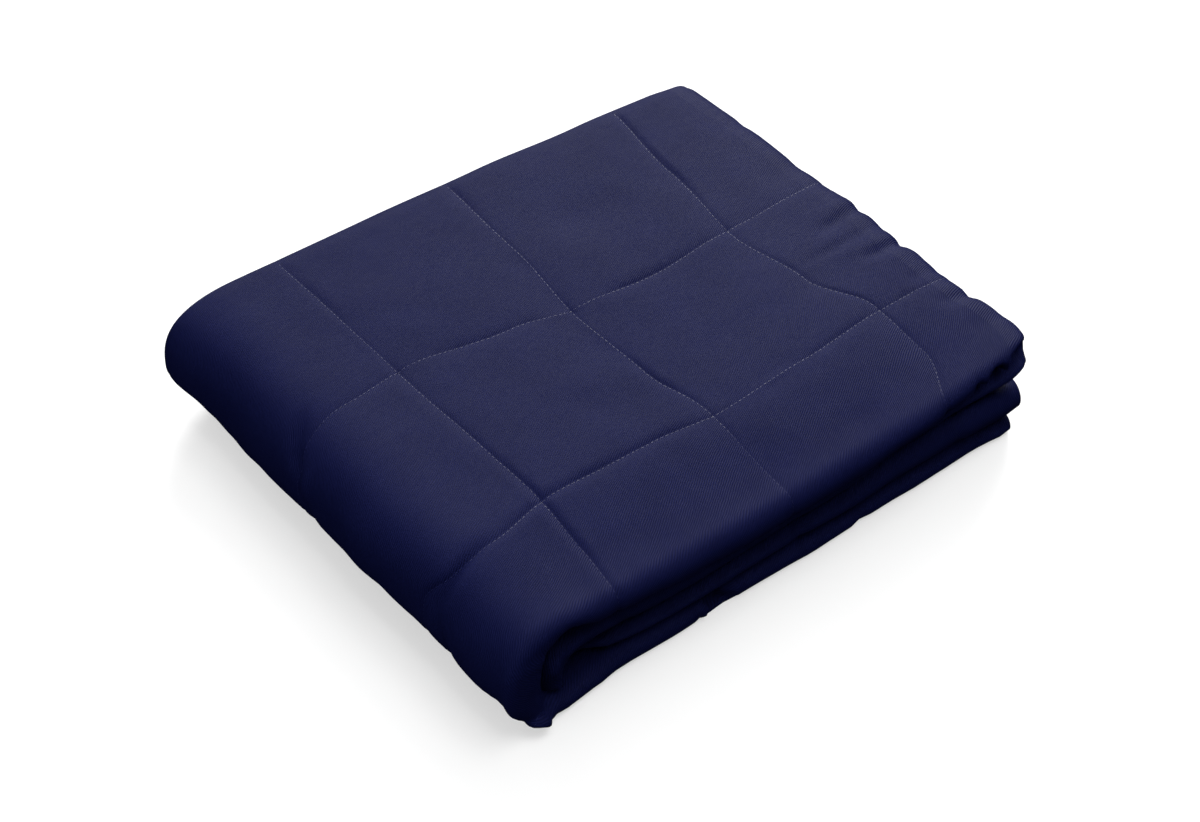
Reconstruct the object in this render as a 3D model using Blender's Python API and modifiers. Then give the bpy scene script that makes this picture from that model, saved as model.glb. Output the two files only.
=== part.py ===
"""Weighted blanket: one quilted cloth of square cells, folded in three across
its width, then in half twice along its length, and lying flat as a pad.

Metres, +Z up.  X runs along the folded pad, Y across it, the closed front
rolls facing -Y and the rounded wrap of the last fold facing -X.
"""
import math

import bpy
import bmesh
import numpy as np

for stale in list(bpy.data.objects):
    bpy.data.objects.remove(stale, do_unlink=True)

# ---------------------------------------------------------------- the cloth
CELL = 0.123            # side of a quilted square
T_CELL = 0.0057         # cloth and filling at the middle of a square
T_SEAM = 0.0024         # pressed together along a seam
T_HEM = 0.0028          # along the four hems
GAP = 0.0011            # air between two layers lying on each other
PITCH = T_CELL + GAP
STRIP = 3 * T_CELL + 2 * GAP        # three layers, the cloth folded across
PINCH = 0.45            # how much of a cross seam's thinning the whole strip shares

# ------------------------------------------------- folded across, in thirds
FRONT_BEND_Y = -0.1560  # centre line of the front roll
BACK_BEND_Y = 0.1520    # centre line of the back roll
FAR_HEM_Y = -0.1500     # hem of the far flap, tucked into the front roll
NEAR_HEM_Y = 0.1630     # hem of the near flap, along the back
EDGE_ROW = 0.137        # first row of cells, next to the near flap's hem

# ------------------------------------------------- folded along, twice in half
CAVITY = 0.0080         # radius left open inside the inner turn
BAND_GAP = 0.0012
END_LOW_X = 0.1940      # free end lying on the surface
END_HIGH_X = 0.1990     # free end lying on it
LIP_X = 0.1800          # centre of the first fold, at the right
WRAP_X = -0.1476        # common centre of the wrap and the inner turn
FIRST_SEAM_X = -0.1170  # first cross seam on the top

STACK = 4 * STRIP + 2 * BAND_GAP + 2 * CAVITY
WRAP_R = (STACK - STRIP) / 2
LIP_R = (STRIP + BAND_GAP) / 2
TURN_R = STRIP / 2 + CAVITY

# The path of the strip, end to end.  kind: run = straight, turn = half circle.
# side: which way the strip's outer face looks on a run; on a turn, +1 when the
# outer face is outside the curve.
PATH = [
    # name          kind    x0          x1          z (centre)                  side   radius
    ("low run",     "run",  END_LOW_X,  WRAP_X,     STRIP / 2,                  -1,    0.0),
    ("wrap",        "turn", WRAP_X,     WRAP_X,     STACK / 2,                  +1,    WRAP_R),
    ("top run",     "run",  WRAP_X,     LIP_X,      STACK - STRIP / 2,          +1,    0.0),
    ("lip",         "turn", LIP_X,      LIP_X,      STACK - STRIP / 2 - LIP_R,  +1,    LIP_R),
    ("second run",  "run",  LIP_X,      WRAP_X,     STACK - 1.5 * STRIP - BAND_GAP, -1, 0.0),
    ("inner turn",  "turn", WRAP_X,     WRAP_X,     STACK / 2,                  -1,    TURN_R),
    ("third run",   "run",  WRAP_X,     END_HIGH_X, 1.5 * STRIP + BAND_GAP,     +1,    0.0),
]
PATH_STEP = {"low run": 0.031, "wrap": 0.0145, "top run": 0.024, "lip": 0.0062,
             "second run": 0.034, "inner turn": 0.0090, "third run": 0.034}

# ------------------------------------------------------------- how it settles
# Heights of the four bands' faces: rows are stations along X.
# low = top of the low run, floor / roof = faces of the opening inside the
# inner turn, mid = top of the second run, top = top of the pad.
SETTLE_COLUMNS = ("low", "floor", "roof", "mid", "top")
SETTLE_INSIDE = [
    # x        low     floor   roof    mid     top
    (-0.200,  (0.0158, 0.0283, 0.0513, 0.0648, 0.0831)),
    (-0.150,  (0.0158, 0.0283, 0.0513, 0.0648, 0.0831)),
    (-0.110,  (0.0188, 0.0358, 0.0438, 0.0623, 0.0831)),
    (-0.075,  (0.0208, 0.0398, 0.0413, 0.0613, 0.0831)),
    (0.020,   (0.0208, 0.0403, 0.0416, 0.0613, 0.0831)),
    (0.100,   (0.0211, 0.0418, 0.0432, 0.0625, 0.0831)),
    (0.160,   (0.0203, 0.0413, 0.0429, 0.0618, 0.0823)),
    (0.188,   (0.0173, 0.0378, 0.0413, 0.0613, 0.0803)),
    (0.205,   (0.0143, 0.0343, 0.0403, 0.0613, 0.0793)),
]
SETTLE_FRONT = [
    (-0.200,  (0.0163, 0.0263, 0.0513, 0.0653, 0.0803)),
    (-0.150,  (0.0163, 0.0263, 0.0513, 0.0653, 0.0803)),
    (-0.110,  (0.0178, 0.0338, 0.0393, 0.0558, 0.0793)),
    (-0.075,  (0.0178, 0.0338, 0.0355, 0.0523, 0.0783)),
    (0.020,   (0.0173, 0.0348, 0.0363, 0.0513, 0.0778)),
    (0.100,   (0.0198, 0.0428, 0.0443, 0.0583, 0.0783)),
    (0.160,   (0.0188, 0.0443, 0.0460, 0.0613, 0.0783)),
    (0.188,   (0.0163, 0.0403, 0.0448, 0.0603, 0.0773)),
    (0.205,   (0.0123, 0.0353, 0.0433, 0.0593, 0.0763)),
]
FRONT_BLEND = (-0.165, -0.100)      # full front heights .. none
# How far each band's front roll stands out, along X.
BULGE_FRONT = [
    # x        low      third    second   top
    (-0.200,  (-0.0110, -0.0070, -0.0060, -0.0060)),
    (-0.150,  (-0.0090, -0.0070, -0.0060, -0.0060)),
    (-0.110,  (-0.0030, -0.0015, -0.0005, -0.0080)),
    (-0.053,  (-0.0020, -0.0008, 0.0000,  -0.0090)),
    (-0.047,  (0.0022,  -0.0008, 0.0000,  -0.0090)),
    (-0.015,  (0.0000,  0.0000,  0.0000,  -0.0095)),
    (0.020,   (0.0000,  0.0000,  0.0000,  -0.0095)),
    (0.110,   (0.0005,  0.0000,  0.0010,  -0.0080)),
    (0.160,   (0.0015,  -0.0010, 0.0000,  -0.0040)),
    (0.205,   (0.0000,  0.0000,  0.0000,  0.0000)),
]
BULGE_REACH = (-0.166, -0.110)
PLEAT_X = (-0.054, -0.046, -0.015)  # stations of the small pleat in the low run
# The plan outline: how far the wrap, the right-hand lip and the back stray.
OUTLINE_LEFT = [
    # y        dx
    (-0.172,  (0.0000,)),
    (-0.135,  (0.0050,)),
    (-0.090,  (0.0045,)),
    (-0.030,  (0.0015,)),
    (0.040,   (0.0005,)),
    (0.100,   (-0.0020,)),
    (0.165,   (-0.0070,)),
]
OUTLINE_RIGHT = [
    # y        dx
    (-0.172,  (0.0010,)),
    (-0.140,  (0.0065,)),
    (-0.105,  (0.0030,)),
    (-0.050,  (0.0050,)),
    (0.020,   (0.0040,)),
    (0.165,   (0.0045,)),
]
OUTLINE_BACK = [
    # x        dy
    (-0.200,  (0.0000,)),
    (-0.150,  (0.0018,)),
    (-0.050,  (0.0010,)),
    (0.030,   (-0.0010,)),
    (0.100,   (-0.0050,)),
    (0.200,   (-0.0085,)),
]
OUTLINE_REACH = 0.075   # how far in from the edge they fade out

# How the seams on the top wander: along X for the three cross seams, in rows
# along Y; along Y for the two long seams, in rows along X.
DRIFT_CROSS = [
    # y        first    second   third
    (-0.175,  (0.0000,  0.0000, -0.0050)),
    (-0.135,  (0.0030, -0.0010,  0.0100)),
    (-0.090,  (0.0060,  0.0000,  0.0125)),
    (-0.045,  (0.0045, -0.0080, -0.0040)),
    (0.015,   (0.0020, -0.0100, -0.0130)),
    (0.090,   (0.0005, -0.0030, -0.0040)),
    (0.165,   (-0.0010, 0.0000,  0.0060)),
]
DRIFT_LONG = [
    # x        back row  front row
    (-0.200,  (0.0000, -0.0150)),
    (-0.155,  (0.0070, -0.0080)),
    (-0.110,  (0.0120,  0.0010)),
    (-0.035,  (0.0010, -0.0010)),
    (0.010,   (-0.0080, -0.0060)),
    (0.070,   (-0.0130, -0.0020)),
    (0.130,   (-0.0080,  0.0030)),
    (0.200,   (-0.0040,  0.0040)),
]
LONG_SEAMS_Y = (0.026, -0.097)
DRIFT_DEPTH = 0.026     # fades out this far below the top
SINK = 0.0013           # the underside presses flat by this much

# ---------------------------------------------------------------- the fabric
NAVY = (0.020, 0.021, 0.075, 1.0)
ROUGHNESS = 0.92


def smooth(t):
    """Ease from 0 to 1."""
    t = np.clip(t, 0.0, 1.0)
    return t * t * (3.0 - 2.0 * t)


def along(table, x):
    """Read a settling table at x: one column per face, eased between rows."""
    knots = np.array([row[0] for row in table])
    values = np.array([row[1] for row in table])
    i = np.clip(np.searchsorted(knots, x, side="right") - 1, 0, len(knots) - 2)
    t = smooth((x - knots[i]) / (knots[i + 1] - knots[i]))[:, None]
    return values[i] * (1.0 - t) + values[i + 1] * t


def path_pieces():
    """The path with the running length at which each piece starts."""
    pieces, start = [], 0.0
    for name, kind, x0, x1, z, side, radius in PATH:
        length = math.pi * radius if kind == "turn" else abs(x1 - x0)
        pieces.append((name, kind, x0, x1, z, side, radius, start, length))
        start += length
    return pieces, start


PIECES, LENGTH = path_pieces()
TOP_START = next(piece[7] for piece in PIECES if piece[0] == "top run")
SEAMS_U = [u for u in (TOP_START + FIRST_SEAM_X - WRAP_X + k * CELL for k in range(-4, 10))
           if 0.03 < u < LENGTH - 0.03]

# Lengths across the width, from the far flap's hem to the near flap's.
FAR_FLAP = BACK_BEND_Y - FAR_HEM_Y
BACK_ROLL = math.pi * PITCH / 2
CENTRE = BACK_BEND_Y - FRONT_BEND_Y
FRONT_ROLL = math.pi * PITCH
NEAR_FLAP = NEAR_HEM_Y - FRONT_BEND_Y
ACROSS = [
    # name          length      step
    ("far flap",    FAR_FLAP,   0.046),
    ("back roll",   BACK_ROLL,  0.0027),
    ("centre",      CENTRE,     0.046),
    ("front roll",  FRONT_ROLL, 0.0036),
    ("near flap",   NEAR_FLAP,  0.027),
]
WIDTH = sum(row[1] for row in ACROSS)
SEAMS_V = [v for v in (WIDTH - EDGE_ROW - k * CELL for k in range(8)) if v > 0.03]


def lattice(spans, seams, shoulder, shouldered, extra=()):
    """Stations along one direction: even steps, with every seam on a station."""
    marks, start = [], 0.0
    for name, length, step in spans:
        count = max(1, round(length / step))
        marks += [(start + length * k / count, step) for k in range(count)]
        start += length
    marks.append((start, 1.0))
    fixed = [0.0, start] + list(seams)
    for seam in seams:
        if shouldered[0] < seam < shouldered[1]:
            fixed += [seam - shoulder, seam + shoulder]
    fixed += list(extra)
    kept = [m for m, step in marks if all(abs(m - f) > 0.42 * min(step, 0.03) for f in fixed)]
    return np.array(sorted(kept + fixed))


def pillow(s, seams, end, floor_edge):
    """0 on a seam, 1 mid-cell, along one direction; hems count as seams."""
    edges = np.array([0.0] + sorted(seams) + [end])
    i = np.clip(np.searchsorted(edges, s, side="right") - 1, 0, len(edges) - 2)
    t = np.clip((s - edges[i]) / (edges[i + 1] - edges[i]), 0.0, 1.0)
    return np.sqrt(np.clip(1.0 - (2.0 * t - 1.0) ** 4, 0.0, 1.0))


def fold_across(v, w, pitch):
    """Across the width: v along the cloth, w off its middle -> y and depth."""
    y = np.zeros_like(v)
    depth = np.zeros_like(v)
    near, mid, far = pitch * 0.0, pitch * 1.0, pitch * 2.0
    s = v - FAR_FLAP
    m = s <= 0
    y[m] = (BACK_BEND_Y + s)[m]
    depth[m] = (mid - w)[m]
    m = (s > 0) & (s <= BACK_ROLL)
    a = -math.pi / 2 + math.pi * s / BACK_ROLL
    y[m] = (BACK_BEND_Y + (pitch / 2 + w) * np.cos(a))[m]
    depth[m] = ((mid + far) / 2 + (pitch / 2 + w) * np.sin(a))[m]
    s = s - BACK_ROLL
    m = (s > 0) & (s <= CENTRE)
    y[m] = (BACK_BEND_Y - s)[m]
    depth[m] = (far + w)[m]
    s = s - CENTRE
    m = (s > 0) & (s <= FRONT_ROLL)
    a = math.pi / 2 + math.pi * s / FRONT_ROLL
    y[m] = (FRONT_BEND_Y + (pitch + w) * np.cos(a))[m]
    depth[m] = (mid + (pitch + w) * np.sin(a))[m]
    s = s - FRONT_ROLL
    m = s > 0
    y[m] = (FRONT_BEND_Y + s)[m]
    depth[m] = (near - w)[m]
    return y, depth - mid


def fold_along(u, depth):
    """Along the length: u along the strip, depth inward from its middle."""
    x = np.zeros_like(u)
    z = np.zeros_like(u)
    for name, kind, x0, x1, zc, side, radius, start, length in PIECES:
        s = u - start
        m = (s >= 0.0) | (name == PIECES[0][0])
        if kind == "run":
            x[m] = (x0 + (x1 - x0) * s / length)[m]
            z[m] = (zc - side * depth)[m]
        else:
            turn = -1.0 if name == "wrap" or name == "lip" else 1.0
            begin = {"wrap": -0.5, "lip": 0.5, "inner turn": 0.5}[name] * math.pi
            a = begin + turn * math.pi * s / length
            r = radius - side * depth
            x[m] = (x0 + r * np.cos(a))[m]
            z[m] = (zc + r * np.sin(a))[m]
    return x, z


def settle(x, y, z):
    """Let the folded stack sink to the heights and outlines it really takes."""
    inside, front = along(SETTLE_INSIDE, x), along(SETTLE_FRONT, x)
    k = smooth((FRONT_BLEND[1] - y) / (FRONT_BLEND[1] - FRONT_BLEND[0]))[:, None]
    real = inside * (1.0 - k) + front * k
    nominal = np.array([STRIP, 2 * STRIP + BAND_GAP, STACK - 2 * STRIP - BAND_GAP,
                        STACK - STRIP, STACK])
    nominal[0] += BAND_GAP / 2
    nominal[3] -= BAND_GAP / 2
    z_new = np.zeros_like(z)
    low_n, low_r = np.zeros_like(z), np.zeros_like(z)
    for j in range(5):
        high_n, high_r = np.full_like(z, nominal[j]), real[:, j]
        m = (z > low_n) | (j == 0)
        z_new[m] = (low_r + (z - low_n) / (high_n - low_n) * (high_r - low_r))[m]
        low_n, low_r = high_n, high_r
    centres = np.stack([real[:, 0] / 2, (real[:, 0] + real[:, 1]) / 2,
                        (real[:, 2] + real[:, 3]) / 2, (real[:, 3] + real[:, 4]) / 2], 1)
    bulge = along(BULGE_FRONT, x)
    push = bulge[:, 0].copy()
    for j in range(3):
        t = smooth((z_new - centres[:, j]) / (centres[:, j + 1] - centres[:, j]))
        push = push * (1.0 - t) + bulge[:, j + 1] * t
    reach = smooth((BULGE_REACH[1] - y) / (BULGE_REACH[1] - BULGE_REACH[0]))
    y = y + push * reach
    top = smooth(1.0 - (real[:, 4] - z_new) / DRIFT_DEPTH)
    left = smooth((WRAP_X - x) / 0.045) * along(OUTLINE_LEFT, y)[:, 0]
    right = smooth((x - LIP_X + OUTLINE_REACH) / OUTLINE_REACH) * along(OUTLINE_RIGHT, y)[:, 0]
    back = smooth((y - BACK_BEND_Y + OUTLINE_REACH) / OUTLINE_REACH) * along(OUTLINE_BACK, x)[:, 0]
    x, y = x + top * drift_cross(x, y) + left + right, y + top * drift_long(x, y) + back
    return x, y, z_new


def between(values, knots, at):
    """Ease between the columns of values, which belong to knots in rising order."""
    result = values[:, 0].copy()
    for j in range(len(knots) - 1):
        t = np.clip((at - knots[j]) / (knots[j + 1] - knots[j]), 0.0, 1.0)
        result = result * (1.0 - t) + values[:, j + 1] * t
    return result


def drift_cross(x, y):
    still = np.zeros((len(x), 1))
    knots = [WRAP_X - 0.03] + [FIRST_SEAM_X + k * CELL for k in range(3)] + [LIP_X]
    return between(np.hstack([still, along(DRIFT_CROSS, y), still]), knots, x)


def drift_long(x, y):
    still = np.zeros((len(x), 1))
    drift = along(DRIFT_LONG, x)[:, ::-1]
    knots = [FRONT_BEND_Y, LONG_SEAMS_Y[1], LONG_SEAMS_Y[0], BACK_BEND_Y]
    return between(np.hstack([still, drift, still]), knots, y)


def fold(u, v, side):
    """Flat cloth (u, v, which face) -> the folded pad."""
    u = np.clip(u, 0.0, LENGTH)
    v = np.clip(v, 0.0, WIDTH)
    across = pillow(v, SEAMS_V, WIDTH, T_HEM)
    lengthways = pillow(u, SEAMS_U, LENGTH, T_HEM)
    thick = T_SEAM + (T_CELL - T_SEAM) * across * lengthways
    at_hem = np.minimum.reduce([u, LENGTH - u, v, WIDTH - v]) < 1e-6
    thick = np.where(at_hem, T_HEM, thick)
    pitch = GAP + T_SEAM + (T_CELL - T_SEAM) * (1.0 - PINCH * (1.0 - lengthways))
    y, depth = fold_across(v, side * thick / 2, pitch)
    x, z = fold_along(u, depth)
    return settle(x, y, z)


def flat_cloth(us, vs):
    """The flat cloth, one unit thick, on the given stations."""
    mesh = bpy.data.meshes.new("flat cloth")
    bm = bmesh.new()
    bmesh.ops.create_grid(bm, x_segments=len(us) - 1, y_segments=len(vs) - 1, size=0.5)
    for vert in bm.verts:
        i = round((vert.co.x + 0.5) * (len(us) - 1))
        j = round((vert.co.y + 0.5) * (len(vs) - 1))
        vert.co = (us[i], vs[j], 0.0)
    bm.to_mesh(mesh)
    bm.free()
    cloth = bpy.data.objects.new("flat cloth", mesh)
    bpy.context.scene.collection.objects.link(cloth)
    shell = cloth.modifiers.new("thickness", "SOLIDIFY")
    shell.thickness = 0.001
    shell.offset = 0.0
    bpy.context.view_layer.update()
    solid = bpy.data.meshes.new_from_object(cloth.evaluated_get(bpy.context.evaluated_depsgraph_get()))
    bpy.data.objects.remove(cloth, do_unlink=True)
    return solid


def build():
    spans = [(piece[0], piece[8], PATH_STEP[piece[0]]) for piece in PIECES]
    top_end = TOP_START + LIP_X - WRAP_X
    pleat = [END_LOW_X - x for x in PLEAT_X]
    us = lattice(spans, SEAMS_U, 0.010, (TOP_START, top_end), pleat)
    vs = lattice(ACROSS, SEAMS_V, 0.010, (WIDTH - NEAR_FLAP, WIDTH))
    mesh = flat_cloth(us, vs)
    mesh.name = "blanket"
    co = np.empty(len(mesh.vertices) * 3)
    mesh.vertices.foreach_get("co", co)
    co = co.reshape(-1, 3)
    x, y, z = fold(co[:, 0].copy(), co[:, 1].copy(), np.sign(co[:, 2]))
    z = np.maximum(z - SINK, 0.0)
    offset = (x.min() + x.max()) / 2, (y.min() + y.max()) / 2
    x -= offset[0]
    y -= offset[1]
    mesh.vertices.foreach_set("co", np.stack([x, y, z], 1).ravel())
    bm = bmesh.new()
    bm.from_mesh(mesh)
    bmesh.ops.recalc_face_normals(bm, faces=bm.faces)
    bmesh.ops.triangulate(bm, faces=bm.faces)
    bm.to_mesh(mesh)
    bm.free()
    blanket = bpy.data.objects.new("blanket", mesh)
    fabric = bpy.data.materials.new("navy cotton")
    fabric.use_nodes = True
    shader = fabric.node_tree.nodes["Principled BSDF"]
    shader.inputs["Base Color"].default_value = NAVY
    shader.inputs["Roughness"].default_value = ROUGHNESS
    mesh.materials.clear()
    mesh.materials.append(fabric)
    parts = bpy.data.collections.new("weighted blanket")
    bpy.context.scene.collection.children.link(parts)
    parts.objects.link(blanket)
    return blanket, us, vs, offset


PAD, US, VS, OFFSET = build()
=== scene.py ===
"""Weighted blanket, folded: quilted navy cloth, its seam stitching, a pale
floor, soft light and the camera.  Metres, +Z up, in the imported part's frame.
"""

import math

import bpy
import bmesh
import numpy as np
from mathutils import Matrix, Vector


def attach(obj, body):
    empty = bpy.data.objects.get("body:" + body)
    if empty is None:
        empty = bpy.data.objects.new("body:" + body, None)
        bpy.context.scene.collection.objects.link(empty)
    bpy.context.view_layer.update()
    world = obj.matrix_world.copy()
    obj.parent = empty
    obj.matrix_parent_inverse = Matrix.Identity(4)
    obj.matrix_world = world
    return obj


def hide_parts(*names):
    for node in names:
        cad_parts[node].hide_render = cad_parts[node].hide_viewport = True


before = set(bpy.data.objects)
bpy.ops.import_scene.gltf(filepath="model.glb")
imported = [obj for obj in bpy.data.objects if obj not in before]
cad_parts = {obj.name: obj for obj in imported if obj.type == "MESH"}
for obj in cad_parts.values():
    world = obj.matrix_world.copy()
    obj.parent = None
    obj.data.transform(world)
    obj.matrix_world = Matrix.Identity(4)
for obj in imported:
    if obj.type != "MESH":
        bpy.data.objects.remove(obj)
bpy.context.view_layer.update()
scene = bpy.context.scene

# =====================================================================
# The quilt folded in three across.  Two faces of cloth with a thin beaded
# filling between; both long edges are turned in, so the strip that is left
# has three thicknesses, a folded edge at the front and one at the back.
# =====================================================================
T_CELL = 0.0057             # filled cell
T_SEAM = 0.0024             # at a sewn seam
T_HEM = 0.0028              # at a hem
GAP = 0.0011                # air between two thicknesses
PITCH = T_CELL + GAP
STRIP = 3 * T_CELL + 2 * GAP
PINCH = 0.05                # how much the seams draw the thicknesses together

FRONT_BEND_Y = -0.1560
BACK_BEND_Y = 0.1520
FAR_HEM_Y = -0.1500
NEAR_HEM_Y = 0.1630

FAR_FLAP = BACK_BEND_Y - FAR_HEM_Y
BACK_ROLL = math.pi * PITCH / 2
CENTRE = BACK_BEND_Y - FRONT_BEND_Y
FRONT_ROLL = math.pi * PITCH
NEAR_FLAP = NEAR_HEM_Y - FRONT_BEND_Y
WIDTH = FAR_FLAP + BACK_ROLL + CENTRE + FRONT_ROLL + NEAR_FLAP

ROUND = (2.0, 2.0)          # a folded edge: its inner half and its outer half
SQUARE = (3.2, 2.2)         # the same on the top layer, pressed fuller


def smooth(t):
    """0 below 0, 1 above 1, and an even ease between."""
    t = np.clip(t, 0.0, 1.0)
    return t * t * (3.0 - 2.0 * t)


def half_turn(t, powers):
    """Half a roll, evenly spaced: how far out (0, 1, 0) and along (1 to -1).

    A power of 2 is round and a higher one is squarer; each half has its own.
    """
    angle = np.linspace(0.0, math.pi, 721)
    power = np.where(angle < math.pi / 2, powers[0], powers[1])
    out = np.abs(np.sin(angle)) ** (2.0 / power)
    up = np.sign(np.cos(angle)) * np.abs(np.cos(angle)) ** (2.0 / power)
    way = np.concatenate([[0.0], np.cumsum(np.hypot(np.diff(out), np.diff(up)))])
    way /= way[-1]
    t = np.clip(t, 0.0, 1.0)
    return np.interp(t, way, out), np.interp(t, way, up)


def fold_across(v, w, pitch, square):
    """Across the width: v along the cloth, w off its middle -> y and depth."""
    y = np.zeros_like(v)
    depth = np.zeros_like(v)
    mid, far = pitch, pitch * 2.0
    s = v - FAR_FLAP
    m = s <= 0
    y[m] = (BACK_BEND_Y + s)[m]
    depth[m] = (mid - w)[m]
    m = (s > 0) & (s <= BACK_ROLL)
    out, up = half_turn(s / BACK_ROLL, ROUND)
    y[m] = (BACK_BEND_Y + (pitch / 2 + w) * out)[m]
    depth[m] = ((mid + far) / 2 - (pitch / 2 + w) * up)[m]
    s = s - BACK_ROLL
    m = (s > 0) & (s <= CENTRE)
    y[m] = (BACK_BEND_Y - s)[m]
    depth[m] = (far + w)[m]
    s = s - CENTRE
    m = (s > 0) & (s <= FRONT_ROLL)
    out, up = half_turn(s / FRONT_ROLL, ROUND)
    square_out, square_up = half_turn(s / FRONT_ROLL, SQUARE)
    out, up = out + (square_out - out) * square, up + (square_up - up) * square
    y[m] = (FRONT_BEND_Y - (pitch + w) * out)[m]
    depth[m] = (mid + (pitch + w) * up)[m]
    s = s - FRONT_ROLL
    m = s > 0
    y[m] = (FRONT_BEND_Y + s)[m]
    depth[m] = -w[m]
    return y, depth - mid


# =====================================================================
# The strip folded in four along.  It starts at the bottom right, wraps round
# the left side, runs back over the top, turns down at the right lip and ends
# folded inside, where its last turn stands open round a small hollow.
# =====================================================================
HOLLOW = 0.0080             # half the height of that last turn's hollow
BAND_GAP = 0.0012
END_LOW_X = 0.1925
END_HIGH_X = 0.1976
LIP_X = 0.1800
WRAP_X = -0.1476
TURN_X = -0.1375

STACK = 4 * STRIP + 2 * BAND_GAP + 2 * HOLLOW
WRAP_R = (STACK - STRIP) / 2
LIP_R = (STRIP + BAND_GAP) / 2
TURN_R = STRIP / 2 + HOLLOW

PATH = [
    # name          kind    x0          x1          z (centre)                  side   radius
    ("low run",     "run",  END_LOW_X,  WRAP_X,     STRIP / 2,                  -1,    0.0),
    ("wrap",        "turn", WRAP_X,     WRAP_X,     STACK / 2,                  +1,    WRAP_R),
    ("top run",     "run",  WRAP_X,     LIP_X,      STACK - STRIP / 2,          +1,    0.0),
    ("lip",         "turn", LIP_X,      LIP_X,      STACK - STRIP / 2 - LIP_R,  +1,    LIP_R),
    ("second run",  "run",  LIP_X,      TURN_X,     STACK - 1.5 * STRIP - BAND_GAP, -1, 0.0),
    ("inner turn",  "turn", TURN_X,     TURN_X,     STACK / 2,                  -1,    TURN_R),
    ("third run",   "run",  TURN_X,     END_HIGH_X, 1.5 * STRIP + BAND_GAP,     +1,    0.0),
]
TURN_SQUARE = {"wrap": (1.98, 2.75), "lip": (3.0, 2.0), "inner turn": (1.45, 2.4)}
WRAP_LOOSE = 0.85           # how much the wrap's inner thicknesses stand off


def path_pieces():
    """Each piece of PATH with its start and length along the strip."""
    pieces, start = [], 0.0
    for name, kind, x0, x1, z, side, radius in PATH:
        length = math.pi * radius if kind == "turn" else abs(x1 - x0)
        pieces.append((name, kind, x0, x1, z, side, radius, start, length))
        start += length
    return pieces, start


PIECES, LENGTH = path_pieces()
TOP_START = next(piece[7] for piece in PIECES if piece[0] == "top run")

# The cloth laid flat round the top face: X along the strip, Y to the back.
FLAT_X = TOP_START - WRAP_X         # u = X + FLAT_X
FLAT_Y = WIDTH - NEAR_HEM_Y         # v = Y + FLAT_Y


def fold_along(u, depth):
    """Along the length: u along the strip, depth inward from its middle."""
    x = np.zeros_like(u)
    z = np.zeros_like(u)
    bend = np.zeros_like(u)
    for name, kind, x0, x1, zc, side, radius, start, length in PIECES:
        s = u - start
        m = (s >= 0.0) | (name == PIECES[0][0])
        if kind == "run":
            x[m] = (x0 + (x1 - x0) * s / length)[m]
            z[m] = (zc - side * depth)[m]
            bend[m] = 0.0
        else:
            r = radius - side * depth
            out, up = half_turn(s / length, TURN_SQUARE[name])
            if name == "wrap":
                x[m] = (x0 - (r - WRAP_LOOSE * np.maximum(depth, 0.0)) * out)[m]
                z[m] = (zc - r * up)[m]
                bend[m] = smooth(out / 0.6)[m]
            else:
                x[m] = (x0 + (1.0 if name == "lip" else -1.0) * r * out)[m]
                z[m] = (zc + r * up)[m]
                bend[m] = 0.0
    return x, z, bend


# =====================================================================
# The folded stack, settled.  The beads in the filling shift and the layers
# sag to their own heights; the outline wanders, the front edges push in and
# out, and the seams on top drift off straight.
# =====================================================================
def along(table, x):
    """A table's values at x, eased from row to row."""
    knots = np.array([row[0] for row in table])
    values = np.array([row[1] for row in table])
    i = np.clip(np.searchsorted(knots, x, side="right") - 1, 0, len(knots) - 2)
    t = smooth((x - knots[i]) / (knots[i + 1] - knots[i]))[:, None]
    return values[i] * (1.0 - t) + values[i + 1] * t


def along_ends(table, x):
    """The same with the end values kept beyond the table's ends."""
    return along(table, np.clip(x, table[0][0], table[-1][0]))[:, 0]


def between(values, knots, at):
    """One value for each point, straight between columns set at the knots."""
    result = values[:, 0].copy()
    for j in range(len(knots) - 1):
        t = np.clip((at - knots[j]) / (knots[j + 1] - knots[j]), 0.0, 1.0)
        result = result * (1.0 - t) + values[:, j + 1] * t
    return result


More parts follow.
